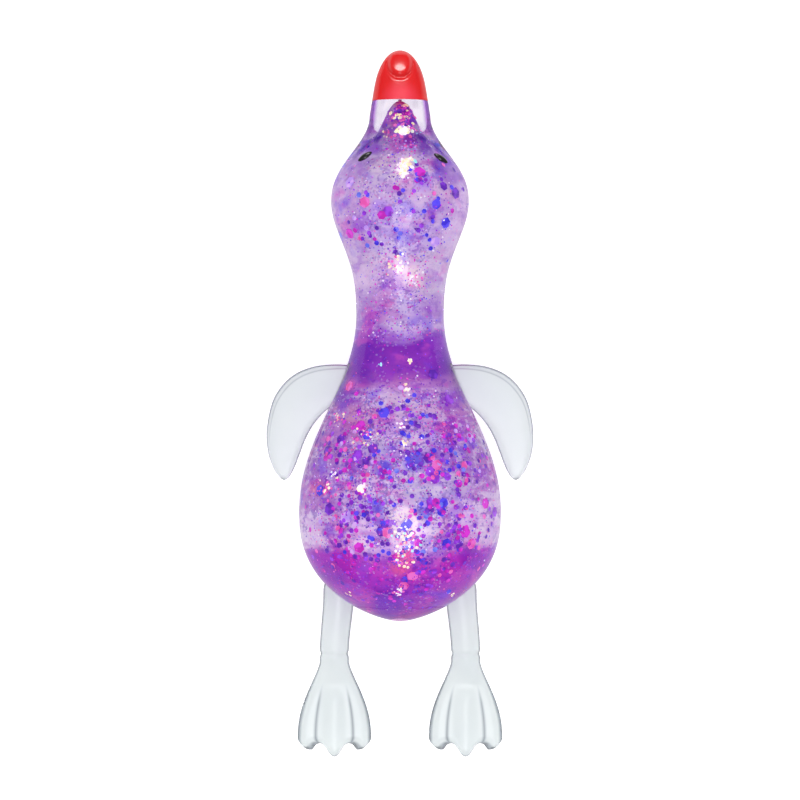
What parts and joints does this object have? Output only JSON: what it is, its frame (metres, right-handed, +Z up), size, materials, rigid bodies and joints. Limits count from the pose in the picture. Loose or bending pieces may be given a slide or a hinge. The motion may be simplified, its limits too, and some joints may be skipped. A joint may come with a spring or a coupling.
{
  "type": "squeeze bird toy",
  "caption": "Clear rubber long-necked squeeze bird filled with violet glitter gel, with soft wings, legs and webbed feet, and a red beak.",
  "frame": {"origin": "on the floor, in the middle of the flat patch of the belly the toy rests on", "axes": "+Z up from the floor, +Y along the neck to the beak, +X to the side of the right wing; seen from above the back shows"},
  "size_m": [0.067, 0.1783, 0.0418],
  "materials": {
    "clear_skin": "gloss",
    "clear_limb": "gloss",
    "red_beak": "gloss",
    "black_eye": "gloss",
    "violet_gel": "gloss",
    "confetti": "gloss"
  },
  "bodies": {
    "trunk": {"body_skin": "clear_skin", "body_gel": "violet_gel", "fill_plug": "clear_limb", "body_flake_01": "confetti", "body_flake_02": "confetti", "body_flake_03": "confetti", "body_flake_04": "confetti", "body_flake_05": "confetti", "body_flake_06": "confetti", "body_flake_07": "confetti", "body_flake_08": "confetti", "body_flake_09": "confetti", "body_flake_10": "confetti", "body_flake_11": "confetti", "body_flake_12": "confetti", "body_flake_13": "confetti", "body_flake_14": "confetti", "body_flake_15": "confetti", "body_flake_16": "confetti"},
    "head": {"head_skin": "clear_skin", "head_gel": "violet_gel", "beak_tip": "red_beak", "left_eye": "black_eye", "right_eye": "black_eye", "head_flake_01": "confetti", "head_flake_02": "confetti", "head_flake_03": "confetti", "head_flake_04": "confetti", "head_flake_05": "confetti", "head_flake_06": "confetti", "head_flake_07": "confetti", "head_flake_08": "confetti"},
    "left_wing": {"left_wing": "clear_limb"},
    "right_wing": {"right_wing": "clear_limb"},
    "left_leg": {"left_leg": "clear_limb"},
    "right_leg": {"right_leg": "clear_limb"},
    "left_foot": {"left_foot": "clear_limb"},
    "right_foot": {"right_foot": "clear_limb"}
  },
  "joints": [
    {"name": "neck_bend", "type": "hinge", "parent": "trunk", "child": "head", "pos_m": [0, 0.0465, 0.02], "axis": [1, 0, 0], "range_deg": [-10, 55], "stiffness_Nm_per_rad": 0.35},
    {"name": "left_wing_flap", "type": "hinge", "parent": "trunk", "child": "left_wing", "pos_m": [-0.01769, 0.0262, 0.0202], "axis": [0.401, 0.9161, 0], "range_deg": [-35, 65], "stiffness_Nm_per_rad": 0.012},
    {"name": "left_hip_swing", "type": "hinge", "parent": "trunk", "child": "left_leg", "pos_m": [-0.0167, -0.02336, 0.015], "axis": [-1, 0, 0], "range_deg": [-10, 40], "stiffness_Nm_per_rad": 0.03},
    {"name": "left_ankle_bend", "type": "hinge", "parent": "left_leg", "child": "left_foot", "pos_m": [-0.0167, -0.03916, 0.015], "axis": [-1, 0, 0], "range_deg": [-12, 50], "stiffness_Nm_per_rad": 0.02},
    {"name": "right_wing_flap", "type": "hinge", "parent": "trunk", "child": "right_wing", "pos_m": [0.01769, 0.0262, 0.0202], "axis": [0.401, -0.9161, 0], "range_deg": [-35, 65], "stiffness_Nm_per_rad": 0.012},
    {"name": "right_hip_swing", "type": "hinge", "parent": "trunk", "child": "right_leg", "pos_m": [0.0167, -0.02336, 0.015], "axis": [-1, 0, 0], "range_deg": [-10, 40], "stiffness_Nm_per_rad": 0.03},
    {"name": "right_ankle_bend", "type": "hinge", "parent": "right_leg", "child": "right_foot", "pos_m": [0.0167, -0.03916, 0.015], "axis": [-1, 0, 0], "range_deg": [-12, 50], "stiffness_Nm_per_rad": 0.02}
  ]
}
